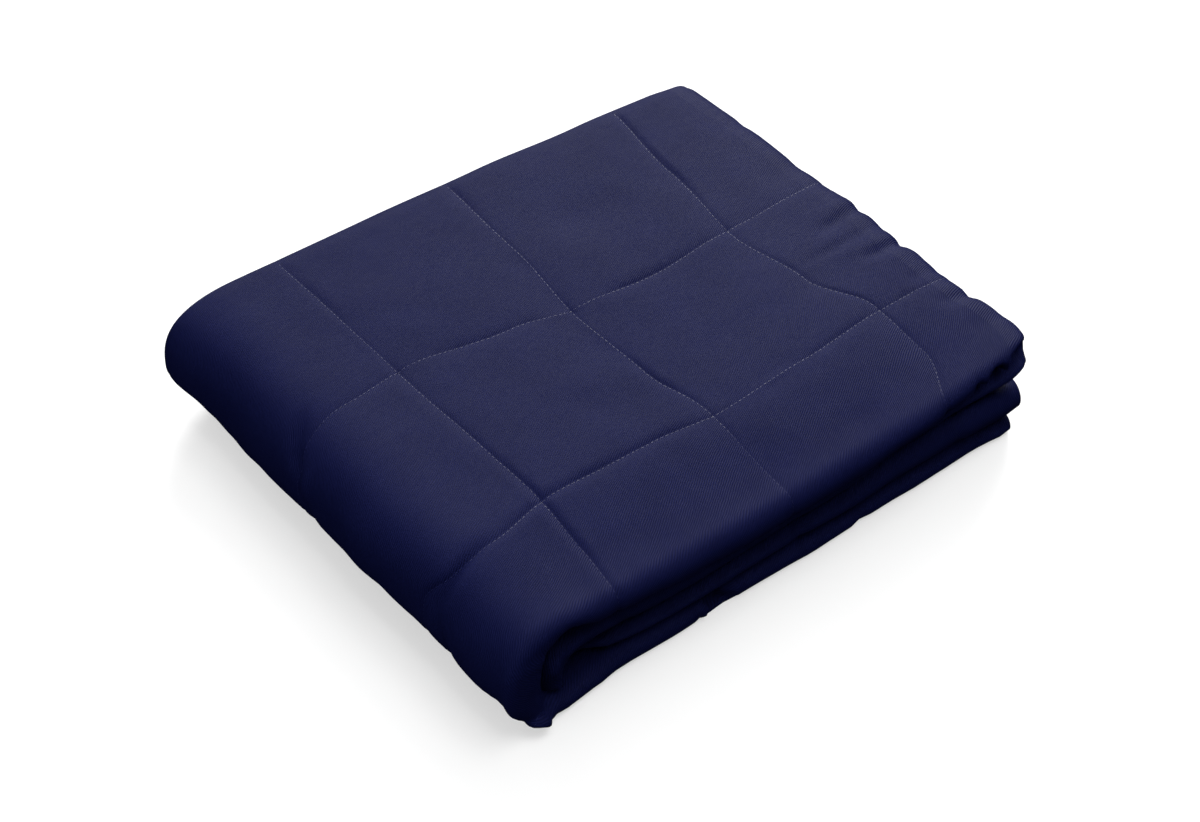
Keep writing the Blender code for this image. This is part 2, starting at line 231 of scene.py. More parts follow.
HEIGHTS_INSIDE = [
    # x        low     floor   roof    mid     top: where the layers meet
    (-0.200,  (0.0158, 0.0283, 0.0513, 0.0648, 0.0831)),
    (-0.150,  (0.0158, 0.0283, 0.0513, 0.0648, 0.0831)),
    (-0.110,  (0.0188, 0.0358, 0.0438, 0.0623, 0.0831)),
    (-0.075,  (0.0208, 0.0398, 0.0413, 0.0613, 0.0831)),
    (0.020,   (0.0208, 0.0403, 0.0416, 0.0613, 0.0831)),
    (0.100,   (0.0211, 0.0418, 0.0432, 0.0625, 0.0831)),
    (0.160,   (0.0203, 0.0413, 0.0429, 0.0618, 0.0823)),
    (0.188,   (0.0173, 0.0378, 0.0413, 0.0613, 0.0803)),
    (0.205,   (0.0143, 0.0343, 0.0403, 0.0613, 0.0793)),
]
HEIGHTS_FRONT = [
    # the same five at the front edge, where the rolls are seen
    (-0.200,  (0.0143, 0.0195, 0.0415, 0.0620, 0.0808)),
    (-0.150,  (0.0143, 0.0195, 0.0415, 0.0620, 0.0798)),
    (-0.125,  (0.0168, 0.0270, 0.0390, 0.0565, 0.0774)),
    (-0.100,  (0.0182, 0.0302, 0.0330, 0.0548, 0.0758)),
    (-0.075,  (0.0182, 0.0302, 0.0320, 0.0528, 0.0744)),
    (0.000,   (0.0178, 0.0333, 0.0348, 0.0515, 0.0736)),
    (0.060,   (0.0158, 0.0338, 0.0353, 0.0530, 0.0738)),
    (0.100,   (0.0178, 0.0415, 0.0430, 0.0583, 0.0748)),
    (0.160,   (0.0165, 0.0440, 0.0457, 0.0613, 0.0763)),
    (0.188,   (0.0148, 0.0403, 0.0448, 0.0603, 0.0773)),
    (0.205,   (0.0123, 0.0353, 0.0433, 0.0593, 0.0763)),
]
FRONT_BLEND = (-0.165, -0.100)      # y from the one to the other
FRONT_GAPE = [
    # x        low|third  third|second  second|top: half of each gap's opening
    (-0.200,  (0.0006,  0.0000,  0.0065)),
    (-0.150,  (0.0008,  0.0000,  0.0065)),
    (-0.125,  (0.0016,  0.0012,  0.0038)),
    (-0.095,  (0.0018,  0.0016,  0.0036)),
    (0.000,   (0.0019,  0.0017,  0.0034)),
    (0.130,   (0.0020,  0.0017,  0.0028)),
    (0.205,   (0.0018,  0.0014,  0.0010)),
]
GAPE_REACH = (-0.158, -0.122)
FRONT_PUSH = [
    # x        low      third    second   top: front edges, minus is forward
    (-0.200,  (-0.0040, -0.0085, -0.0085, -0.0075)),
    (-0.186,  (-0.0056, -0.0085, -0.0085, -0.0075)),
    (-0.176,  (-0.0142, -0.0085, -0.0085, -0.0073)),
    (-0.168,  (-0.0142, -0.0085, -0.0085, -0.0072)),
    (-0.1635, (-0.0090, 0.0000,  -0.0060, -0.0070)),
    (-0.1570, (-0.0062, 0.0000,  -0.0040, -0.0066)),
    (-0.150,  (-0.0058, -0.0005, -0.0010, -0.0066)),
    (-0.145,  (-0.0050, 0.0170,  -0.0020, -0.0074)),
    (-0.128,  (-0.0036, 0.0120,  -0.0010, -0.0080)),
    (-0.112,  (-0.0014, 0.0030,  0.0000, -0.0084)),
    (-0.100,  (-0.0010, 0.0000,  0.0005, -0.0084)),
    (-0.0475, (-0.0012, -0.0008, 0.0000, -0.0090)),
    (-0.028,  (-0.0005, 0.0000,  0.0000, -0.0095)),
    (0.020,   (-0.0004, 0.0000,  0.0000, -0.0095)),
    (0.110,   (0.0014,  0.0000,  0.0010, -0.0080)),
    (0.160,   (0.0026,  -0.0010, 0.0000, -0.0040)),
    (0.205,   (0.0000,  0.0000,  0.0000,  0.0000)),
]
PUSH_REACH = (-0.166, -0.110)
PUSH_BLEND = 0.006          # height over which one layer's push gives way to the next
PLEAT = [
    # x       recess beside the small pleat in the lowest layer's front
    (-0.0472, (0.0000,)),
    (-0.0462, (0.0170,)),
    (-0.0380, (0.0160,)),
    (-0.0270, (0.0000,)),
]
PLEAT_FADE = (0.0015, 0.0040, 0.0030)       # clear of the floor, fade in, fade out
TUCKS = [
    # x       how the top layer's underside is tucked in at its front corner
    (0.148,  (0.0000,)),
    (0.154,  (0.0060,)),
    (0.159,  (0.0010,)),
    (0.167,  (0.0150,)),
    (0.172,  (0.0110,)),
    (0.176,  (0.0010,)),
    (0.183,  (0.0160,)),
    (0.190,  (0.0200,)),
    (0.196,  (0.0110,)),
    (0.201,  (0.0030,)),
]
TUCK_FADE = (0.0140, 0.0040)                # below the top, into the layer under it
OUTLINE_LEFT = [
    # y        dx
    (-0.172,  (0.0012,)),
    (-0.165,  (0.0044,)),
    (-0.158,  (0.0040,)),
    (-0.152,  (0.0026,)),
    (-0.146,  (0.0018,)),
    (-0.140,  (0.0016,)),
    (-0.120,  (0.0022,)),
    (-0.090,  (0.0015,)),
    (-0.030,  (-0.0008,)),
    (0.040,   (-0.0010,)),
    (0.100,   (-0.0015,)),
    (0.165,   (-0.0072,)),
]
FOOT_LEFT = [
    # y        dx of the wrap's lower half, on top of the outline's
    (-0.172,  (-0.0010,)),
    (-0.165,  (0.0010,)),
    (-0.158,  (0.0022,)),
    (-0.152,  (0.0018,)),
    (-0.146,  (0.0008,)),
    (-0.141,  (-0.0002,)),
    (-0.128,  (-0.0012,)),
    (-0.108,  (0.0020,)),
    (-0.090,  (0.0034,)),
    (-0.072,  (0.0016,)),
    (-0.054,  (0.0002,)),
    (-0.036,  (0.0015,)),
    (-0.019,  (0.0010,)),
    (-0.001,  (-0.0013,)),
    (0.034,   (-0.0020,)),
    (0.070,   (-0.0032,)),
    (0.087,   (-0.0055,)),
    (0.105,   (-0.0026,)),
    (0.123,   (0.0033,)),
    (0.140,   (0.0135,)),
    (0.165,   (0.0150,)),
]
OUTLINE_RIGHT = [
    # y        dx: lower layers, top layer
    (-0.172,  (0.0005, 0.0025)),
    (-0.140,  (0.0072, 0.0092)),
    (-0.105,  (0.0032, 0.0046)),
    (-0.075,  (0.0030, 0.0036)),
    (-0.050,  (0.0018, 0.0022)),
    (-0.010,  (0.0045, 0.0052)),
    (0.030,   (0.0036, 0.0044)),
    (0.090,   (0.0034, 0.0036)),
    (0.165,   (0.0010, 0.0010)),
]
OUTLINE_BACK = [
    # x        dy
    (-0.200,  (0.0000,)),
    (-0.150,  (0.0018,)),
    (-0.050,  (0.0010,)),
    (0.030,   (-0.0010,)),
    (0.100,   (-0.0050,)),
    (0.200,   (-0.0085,)),
]
OUTLINE_REACH = 0.075       # how far in from the right and the back it reaches
LEFT_REACH = 0.045          # and from the left
FOOT_HEIGHT = 0.042
UPPER_BLEND = 0.012
CROSS_SEAMS_X = (-0.117, 0.006, 0.129)
DRIFT_CROSS = [
    # y        first    second   third cross seam on top
    (-0.175,  (0.0000,  0.0000, -0.0050)),
    (-0.135,  (0.0030, -0.0010,  0.0100)),
    (-0.090,  (0.0060,  0.0000,  0.0125)),
    (-0.045,  (0.0045, -0.0080, -0.0040)),
    (0.015,   (0.0020, -0.0100, -0.0130)),
    (0.090,   (0.0005, -0.0030, -0.0040)),
    (0.165,   (-0.0010, 0.0000,  0.0060)),
]
LONG_SEAMS_Y = (0.026, -0.097)
DRIFT_LONG = [
    # x        back row  front row
    (-0.200,  (0.0000, -0.0150)),
    (-0.155,  (0.0070, -0.0080)),
    (-0.110,  (0.0120,  0.0010)),
    (-0.035,  (0.0010, -0.0010)),
    (0.010,   (-0.0080, -0.0060)),
    (0.070,   (-0.0130, -0.0020)),
    (0.130,   (-0.0080,  0.0030)),
    (0.200,   (-0.0040,  0.0040)),
]
DRIFT_DEPTH = 0.026         # how far down the seams' drift is felt


def settle(x, y, z, bend):
    """Let the folded stack sink to the heights and outlines it really takes."""
    inside, front = along(HEIGHTS_INSIDE, x), along(HEIGHTS_FRONT, x)
    k = smooth((FRONT_BLEND[1] - y) / (FRONT_BLEND[1] - FRONT_BLEND[0]))[:, None]
    real = inside * (1.0 - k) + front * k
    nominal = [STRIP, STRIP + BAND_GAP, 2 * STRIP + BAND_GAP, STACK - 2 * STRIP - BAND_GAP,
               STACK - STRIP - BAND_GAP, STACK - STRIP, STACK]
    gape = along(FRONT_GAPE, x)
    gape = gape * smooth((GAPE_REACH[1] - y) / (GAPE_REACH[1] - GAPE_REACH[0]))[:, None]
    half = BAND_GAP / 4
    levels = [real[:, 0] - half - gape[:, 0], real[:, 0] + half + gape[:, 0],
              real[:, 1] - gape[:, 1], real[:, 2] + gape[:, 1],
              real[:, 3] - half - gape[:, 2], real[:, 3] + half + gape[:, 2], real[:, 4]]
    z_new = np.zeros_like(z)
    low_n, low_r = 0.0, np.zeros_like(z)
    for high_n, high_r in zip(nominal, levels):
        m = (z > low_n) | (low_n == 0.0)
        z_new[m] = (low_r + (z - low_n) / (high_n - low_n) * (high_r - low_r))[m]
        low_n, low_r = high_n, high_r
    z_new = z_new + (z * real[:, 4] / STACK - z_new) * bend
    gaps = [real[:, 0], (real[:, 1] + real[:, 2]) / 2, real[:, 3]]
    edges = along(FRONT_PUSH, x)
    push = edges[:, 0].copy()
    for j, gap in enumerate(gaps):
        t = smooth((z_new - gap) / PUSH_BLEND + 0.5)
        push = push * (1.0 - t) + edges[:, j + 1] * t
    push += (along_ends(PLEAT, x) * smooth((z_new - PLEAT_FADE[0]) / PLEAT_FADE[1])
             * smooth((real[:, 0] - z_new) / PLEAT_FADE[2] + 1.0))
    push += (along_ends(TUCKS, x) * smooth((real[:, 4] - z_new) / TUCK_FADE[0])
             * smooth((z_new - real[:, 3]) / TUCK_FADE[1] + 1.0))
    y = y + push * smooth((PUSH_REACH[1] - y) / (PUSH_REACH[1] - PUSH_REACH[0]))
    top = smooth(1.0 - (real[:, 4] - z_new) / DRIFT_DEPTH)
    still = np.zeros((len(x), 1))
    cross = between(np.hstack([still, along(DRIFT_CROSS, y), still]),
                    [WRAP_X - 0.03, *CROSS_SEAMS_X, LIP_X], x)
    rows = between(np.hstack([still, along(DRIFT_LONG, x)[:, ::-1], still]),
                   [FRONT_BEND_Y, LONG_SEAMS_Y[1], LONG_SEAMS_Y[0], BACK_BEND_Y], y)
    foot = smooth(1.0 - z_new / FOOT_HEIGHT)
    left = (smooth((WRAP_X - x) / LEFT_REACH)
            * (along(OUTLINE_LEFT, y)[:, 0] + foot * along(FOOT_LEFT, y)[:, 0]))
    sides = along(OUTLINE_RIGHT, y)
    upper = smooth((z_new - real[:, 2]) / UPPER_BLEND)
    right = (smooth((x - LIP_X + OUTLINE_REACH) / OUTLINE_REACH)
             * (sides[:, 0] + upper * (sides[:, 1] - sides[:, 0])))
    back = smooth((y - BACK_BEND_Y + OUTLINE_REACH) / OUTLINE_REACH) * along(OUTLINE_BACK, x)[:, 0]
    return x + top * cross + left + right, y + top * rows + back, z_new


# =====================================================================
# Quilting.  Seams sewn through both faces hold the beads in square cells;
# each seam is a narrow groove in a soft hollow, puckered along its thread,
# and the cloth between is slack enough to keep the creases of handling.
# =====================================================================
CELL = 0.123
EDGE_ROW = 0.137            # the last row of cells, at the near flap's hem
SEAMS_U = [u for u in (TOP_START + CROSS_SEAMS_X[0] - WRAP_X + k * CELL for k in range(-4, 10))
           if 0.03 < u < LENGTH - 0.03]
SEAMS_V = [v for v in (WIDTH - EDGE_ROW - k * CELL for k in range(8)) if v > 0.03]
GROOVE, GROOVE_WIDTH = 0.00040, 0.0016      # the thread's own groove
SEAM_HOLLOW, HOLLOW_WIDTH = 0.00065, 0.010  # the soft hollow round it
PUCKER, PUCKER_SIZE, PUCKER_REACH = 0.00040, 0.0065, 0.007
SEAM_LEAN, LEAN_SIZE, LEAN_EDGE = 0.00038, 0.085, 0.0025
SLACK, SLACK_SIZE = 0.0008, 0.050           # slow waves of the cell's cloth
RUMPLE, RUMPLE_SIZE = 0.00022, 0.016        # and small ones
CELL_EDGE = 0.004                           # flat of both beside a seam
HEM_WIDTH = 0.009
DETAIL_Y, DETAIL_FADE = -0.192, 0.010       # where the shown face's detail begins
SQUARE_X = (WRAP_X - 0.085, LIP_X + 0.020)  # the pressed part of the top layer's roll
SQUARE_FADE = (0.045, 0.020)
SINK = 0.0013                               # the beads' weight on the floor
CENTRE_SHIFT = (0.0019181, -0.0050500)      # the solid is centred on its own box

CREASES = [
    # name                    x0      y0      x1      y1      width   height
    ("lip valley",            0.150, -0.016,  0.201, -0.008,  0.0110, -0.0024),
    ("lip valley ridge",      0.160, -0.004,  0.208,  0.004,  0.0120,  0.0008),
    ("lip middle valley",     0.124, -0.031,  0.202, -0.034,  0.0085, -0.0014),
    ("lip middle ridge",      0.146, -0.042,  0.202, -0.044,  0.0100,  0.0008),
    ("lip front valley",      0.158, -0.053,  0.203, -0.053,  0.0085, -0.0022),
    ("lip front ridge",       0.162, -0.064,  0.204, -0.066,  0.0100,  0.0007),
    ("lip first notch",       0.186, -0.0080, 0.226, -0.0075, 0.0050, -0.0008),
    ("lip second notch",      0.186, -0.0425, 0.226, -0.0420, 0.0050, -0.0014),
    ("lip third notch",       0.186, -0.0710, 0.226, -0.0705, 0.0050, -0.0008),
    ("lip front soft fold",   0.160, -0.084,  0.204, -0.090,  0.0110, -0.0010),
    ("lip corner fold",       0.160, -0.110,  0.216, -0.118,  0.0090, -0.0022),
    ("lip corner dent",       0.158, -0.136,  0.212, -0.140,  0.0160, -0.0012),
    ("lip back soft fold",    0.156,  0.046,  0.212,  0.050,  0.0180, -0.0014),
    ("lip back notch",        0.180,  0.020,  0.212,  0.022,  0.0060, -0.0016),
    ("lip far back fold",     0.160,  0.100,  0.212,  0.104,  0.0150, -0.0010),
    ("wrap back pucker",     -0.162,  0.042, -0.206,  0.020,  0.0085, -0.0038),
    ("wrap back ridge",      -0.182,  0.020, -0.212,  0.012,  0.0090,  0.0026),
    ("wrap back crease",     -0.196,  0.022, -0.250,  0.006,  0.0075, -0.0024),
    ("wrap front pucker",    -0.146, -0.092, -0.212, -0.112,  0.0095, -0.0036),
    ("wrap front crease",    -0.192, -0.108, -0.256, -0.130,  0.0080, -0.0026),
    ("wrap dent",            -0.205, -0.050, -0.255, -0.056,  0.0200, -0.0012),
    ("wrap soft ridge",      -0.180, -0.040, -0.235, -0.030,  0.0240,  0.0010),
    ("top front dent",        0.050, -0.140,  0.092, -0.156,  0.0180, -0.0008),
    ("top slack",            -0.060, -0.050,  0.000, -0.075,  0.0300, -0.0008),
    ("top back slack",        0.030,  0.080,  0.100,  0.095,  0.0300, -0.0007),
]


def creases(px, py):
    """Height of all the creases at flat positions: soft troughs and ridges."""
    height = np.zeros_like(px)
    for name, x0, y0, x1, y1, width, size in CREASES:
        dx, dy = x1 - x0, y1 - y0
        length = math.hypot(dx, dy)
        s = ((px - x0) * dx + (py - y0) * dy) / length
        bend = 0.0010 * np.sin(s * 95.0 + 40.0 * x0)
        off = np.abs(((py - y0) * dx - (px - x0) * dy) / length + bend)
        run = smooth(s / (0.42 * length)) * smooth((length - s) / (0.42 * length))
        height += size * run * np.exp(-((off / (0.5 * width)) ** 2))
    return height


def value_noise(px, py, size, seed):
    """Smooth noise in -1..1 with features about size across."""
    rng = np.random.default_rng(seed)
    grid = rng.uniform(-1.0, 1.0, (128, 128))
    gx, gy = px / size + 1000.0, py / size + 1000.0
    ix, iy = np.floor(gx).astype(int), np.floor(gy).astype(int)
    tx, ty = smooth(gx - ix), smooth(gy - iy)
    a, b = grid[ix % 128, iy % 128], grid[(ix + 1) % 128, iy % 128]
    c, d = grid[ix % 128, (iy + 1) % 128], grid[(ix + 1) % 128, (iy + 1) % 128]
    return (a * (1 - tx) + b * tx) * (1 - ty) + (c * (1 - tx) + d * tx) * ty


def pillow(s, seams, end):
    """0 on a seam, 1 mid-cell, along one direction; hems count as seams."""
    edges = np.array([0.0] + sorted(seams) + [end])
    i = np.clip(np.searchsorted(edges, s, side="right") - 1, 0, len(edges) - 2)
    t = np.clip((s - edges[i]) / (edges[i + 1] - edges[i]), 0.0, 1.0)
    return np.sqrt(np.clip(1.0 - (2.0 * t - 1.0) ** 4, 0.0, 1.0))


def from_seam(s, seams):
    """Distance to the nearest seam, minus on its near side."""
    gaps = s[:, None] - np.array(seams)[None, :]
    return gaps[np.arange(len(s)), np.abs(gaps).argmin(axis=1)]


def shown_face(px, py, du, dv):
    """How the outer face stands off a full cell: seams, puckers and creases."""
    height = creases(px, py)
    for d, a, b, seed in ((du, 1.0, 0.25, 11), (dv, 0.25, 1.0, 12)):
        far = np.abs(d)
        height -= GROOVE * np.exp(-(far / GROOVE_WIDTH) ** 2) + SEAM_HOLLOW * np.exp(-far / HOLLOW_WIDTH)
        height += PUCKER * value_noise(px * a, py * b, PUCKER_SIZE, seed) * np.exp(-far / PUCKER_REACH)
        height += (SEAM_LEAN * value_noise(px, py, LEAN_SIZE, seed + 9)
                   * np.tanh(d / LEAN_EDGE) * np.exp(-far / HOLLOW_WIDTH))
    edge = smooth(np.minimum(np.abs(du), np.abs(dv)) / CELL_EDGE)
    return height + (SLACK * value_noise(px, py, SLACK_SIZE, 13)
                     + RUMPLE * value_noise(px, py, RUMPLE_SIZE, 14)) * edge


def fold(u, v, side):
    """Flat cloth (u, v, which face) -> the folded blanket."""
    u, v = np.clip(u, 0.0, LENGTH), np.clip(v, 0.0, WIDTH)
    lengthways = pillow(u, SEAMS_U, LENGTH)
    thick = T_SEAM + (T_CELL - T_SEAM) * pillow(v, SEAMS_V, WIDTH) * lengthways
    hem = np.minimum.reduce([u, LENGTH - u, v, WIDTH - v])
    thick = np.where(hem < 1e-6, T_HEM, thick)
    pitch = GAP + T_SEAM + (T_CELL - T_SEAM) * (1.0 - PINCH * (1.0 - lengthways))
    px, py = u - FLAT_X, v - FLAT_Y
    outer = T_CELL / 2 + shown_face(px, py, from_seam(u, SEAMS_U), from_seam(v, SEAMS_V))
    outer = T_HEM / 2 + (outer - T_HEM / 2) * smooth(hem / HEM_WIDTH)
    near = smooth((py - DETAIL_Y) / DETAIL_FADE)
    w = np.where(side > 0, thick / 2 + (outer - thick / 2) * near, side * thick / 2)
    square = smooth((px - SQUARE_X[0]) / SQUARE_FADE[0]) * smooth((SQUARE_X[1] - px) / SQUARE_FADE[1])
    y, depth = fold_across(v, w, pitch, square)
    x, z, bend = fold_along(u, depth)
    x, y, z = settle(x, y, z, bend)
    z = np.maximum(z - SINK, 0.0)
    return np.stack([x - CENTRE_SHIFT[0], y - CENTRE_SHIFT[1], z], 1)


# =====================================================================
# The blanket's cloth: one sheet, two faces of woven navy twill joined round
# the hems, set out on a lattice that is finest at seams and folded edges.
# =====================================================================
PATH_STEP = [
    # piece        share of its length, step
    ("low run",    [(0.66, 0.0085), (0.10, 0.0018), (0.24, 0.0060)]),
    ("wrap",       [(0.22, 0.0019), (0.78, 0.0036)]),
    ("top run",    [(0.14, 0.0030), (0.58, 0.0038), (0.28, 0.0021)]),
    ("lip",        [(1.0, 0.0019)]),
    ("second run", [(1.0, 0.0140)]),
    ("inner turn", [(1.0, 0.0046)]),
    ("third run",  [(1.0, 0.0110)]),
]
ACROSS_STEP = [
    # name          length      share, step
    ("far flap",    FAR_FLAP,   [(1.0, 0.0220)]),
    ("back roll",   BACK_ROLL,  [(1.0, 0.0015)]),
    ("centre",      CENTRE,     [(1.0, 0.0145)]),
    ("front roll",  FRONT_ROLL, [(1.0, 0.0014)]),
    ("near flap",   NEAR_FLAP,  [(0.12, 0.0024), (0.12, 0.0036), (0.30, 0.0028),
                                 (0.30, 0.0048), (0.16, 0.0032)]),
]
SHOWN_X = (WRAP_X - 0.12, LIP_X + 0.03)     # the part of the flat cloth that shows
SHOWN_Y = -0.16
RIM_INSET, RIM_SWELL = 0.002, 0.0009        # the hems' rounded rim


def lattice(spans, seams, shown):
    """Stations along one direction; each seam that shows gets close ones beside it."""
    marks, start = [], 0.0
    for length, shares in spans:
        for share, step in shares:
            count = max(1, round(length * share / step))
            marks += [(start + length * share * k / count, step) for k in range(count)]
            start += length * share
    fixed = [0.0, start]
    for seam in seams:
        fixed.append(seam)
        if shown[0] < seam < shown[1]:
            fixed += [seam - 0.0034, seam - 0.0012, seam + 0.0012, seam + 0.0034]
    kept = [m for m, step in marks if all(abs(m - f) > 0.5 * min(step, 0.004) for f in fixed)]
    return np.array(sorted(set(kept + fixed)))


def cloth_mesh():
    """Both faces on one lattice, with a rounded rim along the hems."""
    us = lattice([(piece[8], shares) for piece, (name, shares) in zip(PIECES, PATH_STEP)],
                 SEAMS_U, (FLAT_X + SHOWN_X[0], FLAT_X + SHOWN_X[1]))
    vs = lattice([(length, shares) for name, length, shares in ACROSS_STEP],
                 SEAMS_V, (FLAT_Y + SHOWN_Y, WIDTH))
    nu, nv = len(us), len(vs)
    uu, vv = (a.ravel() for a in np.meshgrid(us, vs, indexing="ij"))
    upper = fold(uu, vv, np.ones(nu * nv))
    lower = fold(uu, vv, -np.ones(nu * nv))
    index = np.arange(nu * nv).reshape(nu, nv)
    quads = np.stack([index[:-1, :-1], index[1:, :-1], index[1:, 1:], index[:-1, 1:]], -1).reshape(-1, 4)
    ring = np.concatenate([index[:-1, 0], index[-1, :-1], index[:0:-1, -1], index[0, :0:-1]])
    rim = (upper[ring] + lower[ring]) / 2
    inner = fold(np.clip(uu[ring], RIM_INSET, LENGTH - RIM_INSET),
                 np.clip(vv[ring], RIM_INSET, WIDTH - RIM_INSET), np.zeros(len(ring)))
    away = rim - inner
    rim = rim + away / np.maximum(np.linalg.norm(away, axis=1), 1e-9)[:, None] * RIM_SWELL
    after = np.roll(ring, -1)
    base = 2 * nu * nv
    r0 = base + np.arange(len(ring))
    r1 = np.roll(r0, -1)
    top_rim = np.stack([ring, after, r1, r0], -1)
    low_rim = np.stack([r0, r1, after + nu * nv, ring + nu * nv], -1)
    faces = np.concatenate([quads, quads[:, ::-1] + nu * nv, top_rim[:, ::-1], low_rim[:, ::-1]])
    points = np.concatenate([upper, lower, rim])
    mesh = bpy.data.meshes.new("blanket_cloth")
    mesh.from_pydata(points.tolist(), [], faces.tolist())
    flat = np.concatenate([np.stack([uu - FLAT_X, vv - FLAT_Y], 1)] * 2
                          + [np.stack([uu[ring] - FLAT_X, vv[ring] - FLAT_Y], 1)])
    layer = mesh.uv_layers.new(name="cloth")
    loops = np.empty(len(mesh.loops), dtype=np.int32)
    mesh.loops.foreach_get("vertex_index", loops)
    layer.data.foreach_set("uv", flat[loops].ravel())
    bm = bmesh.new()
    bm.from_mesh(mesh)
    bmesh.ops.recalc_face_normals(bm, faces=bm.faces)
    bm.to_mesh(mesh)
    bm.free()
    mesh.polygons.foreach_set("use_smooth", np.ones(len(mesh.polygons), dtype=bool))
    return mesh


blanket = bpy.data.objects.new("blanket_cloth", cloth_mesh())
scene.collection.objects.link(blanket)

NAVY = (0.0040, 0.0053, 0.0321)
NAVY_PALE = (0.0057, 0.0076, 0.0437)
TWILL_PITCH = 0.00111
TWILL_ANGLE = 32.0
SHEEN = 0.036               # how much gloss the cotton gives back


def principled(name, color, roughness):
    """A new material of one colour, with its tree and its shader."""
    made = bpy.data.materials.new(name)
    made.use_nodes = True
    shader = made.node_tree.nodes["Principled BSDF"]
    shader.inputs["Base Color"].default_value = (*color, 1.0)
    shader.inputs["Roughness"].default_value = roughness
    return made, made.node_tree, shader


def twill_group():
    """Twill: slanted ribs crossed by fine yarns, in the cloth's own metres."""
    tree = bpy.data.node_groups.new("Twill", "ShaderNodeTree")
    add = tree.interface.new_socket
    add("Cloth", in_out="INPUT", socket_type="NodeSocketVector")
    for label, value in (("Pitch", TWILL_PITCH), ("Angle", TWILL_ANGLE)):
        add(label, in_out="INPUT", socket_type="NodeSocketFloat").default_value = value
    add("Rib", in_out="OUTPUT", socket_type="NodeSocketFloat")
    add("Height", in_out="OUTPUT", socket_type="NodeSocketFloat")
    nodes, links = tree.nodes, tree.links
    start, end = nodes.new("NodeGroupInput"), nodes.new("NodeGroupOutput")

    def math_node(kind, a, b=None):
        node = nodes.new("ShaderNodeMath")
        node.operation = kind
        for socket, value in zip(node.inputs, (a, b)):
            if value is None:
                continue
            if isinstance(value, (int, float)):
                socket.default_value = value
            else:
                links.new(value, socket)
        return node.outputs[0]

    split = nodes.new("ShaderNodeSeparateXYZ")
    links.new(start.outputs["Cloth"], split.inputs[0])
    wobble = nodes.new("ShaderNodeTexNoise")
    wobble.inputs["Scale"].default_value = 160.0
    wobble.inputs["Detail"].default_value = 1.0
    links.new(start.outputs["Cloth"], wobble.inputs["Vector"])
    drift = math_node("MULTIPLY", math_node("SUBTRACT", wobble.outputs[0], 0.5), 0.0009)
    turn = math_node("RADIANS", start.outputs["Angle"])
    across = math_node("SUBTRACT", math_node("MULTIPLY", split.outputs["Y"], math_node("COSINE", turn)),
                       math_node("MULTIPLY", split.outputs["X"], math_node("SINE", turn)))
    across = math_node("ADD", across, drift)
    phase = math_node("MULTIPLY", math_node("DIVIDE", across, start.outputs["Pitch"]), 2 * math.pi)
    rib = math_node("ADD", math_node("MULTIPLY", math_node("SINE", phase), 0.5), 0.5)
    yarn_phase = math_node("DIVIDE", split.outputs["X"], start.outputs["Pitch"])
    yarn_wave = math_node("SINE", math_node("MULTIPLY", yarn_phase, 15.0))
    yarn = math_node("ADD", math_node("MULTIPLY", yarn_wave, 0.5), 0.5)
    links.new(rib, end.inputs["Rib"])
    links.new(math_node("ADD", rib, math_node("MULTIPLY", yarn, 0.25)), end.inputs["Height"])
    return tree


def twill_cloth(name, pale, dark, twill):
    """Navy twill, a little paler where it is worn, with lint and slubs."""
    made, tree, shader = principled(name, dark, 0.55)
    nodes, links = tree.nodes, tree.links
    uv = nodes.new("ShaderNodeUVMap")
    uv.uv_map = "cloth"
    weave = nodes.new("ShaderNodeGroup")
    weave.node_tree = twill
    links.new(uv.outputs["UV"], weave.inputs["Cloth"])

    def noise(scale, detail, rough=0.5):
        node = nodes.new("ShaderNodeTexNoise")
        node.inputs["Scale"].default_value = scale
        node.inputs["Detail"].default_value = detail
        node.inputs["Roughness"].default_value = rough
        links.new(uv.outputs["UV"], node.inputs["Vector"])
        return node.outputs[0]

    def mix(kind, factor, a, b):
        node = nodes.new("ShaderNodeMix")
        node.data_type = "RGBA"
        node.blend_type = kind
        for socket, value in ((node.inputs[0], factor), (node.inputs[6], a), (node.inputs[7], b)):
            if isinstance(value, bpy.types.NodeSocket):
                links.new(value, socket)
            elif isinstance(value, tuple):
                socket.default_value = (*value, 1.0)
            else:
                socket.default_value = value
        return node.outputs[2]

    def ramp(value, low, high, out_low, out_high):
        node = nodes.new("ShaderNodeMapRange")
        for key, number in zip((1, 2, 3, 4), (low, high, out_low, out_high)):
            node.inputs[key].default_value = number
        links.new(value, node.inputs[0])
        return node.outputs[0]

    worn = mix("MIX", ramp(noise(26.0, 4.0, 0.6), 0.30, 0.70, 0.25, 0.75), dark, pale)
    ribbed = mix("MULTIPLY", ramp(weave.outputs["Rib"], 0.0, 1.0, 0.60, 0.0), worn, (0.22, 0.22, 0.30))
    flecked = mix("MULTIPLY", ramp(noise(900.0, 2.0), 0.35, 0.75, 0.0, 0.22), ribbed, (0.55, 0.55, 0.62))
    links.new(flecked, shader.inputs["Base Color"])
    crumple = nodes.new("ShaderNodeBump")
    crumple.inputs["Strength"].default_value = 0.35
    crumple.inputs["Distance"].default_value = 0.0010
    links.new(noise(75.0, 3.0), crumple.inputs["Height"])
    bump = nodes.new("ShaderNodeBump")
    bump.inputs["Strength"].default_value = 0.75
    bump.inputs["Distance"].default_value = 0.00022
    links.new(weave.outputs["Height"], bump.inputs["Height"])
    links.new(crumple.outputs["Normal"], bump.inputs["Normal"])
    links.new(bump.outputs["Normal"], shader.inputs["Normal"])
    shader.inputs["Specular IOR Level"].default_value = SHEEN
    return made


blanket.data.materials.append(twill_cloth("navy_twill", NAVY_PALE, NAVY, twill_group()))
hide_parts("blanket")
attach(blanket, "root")

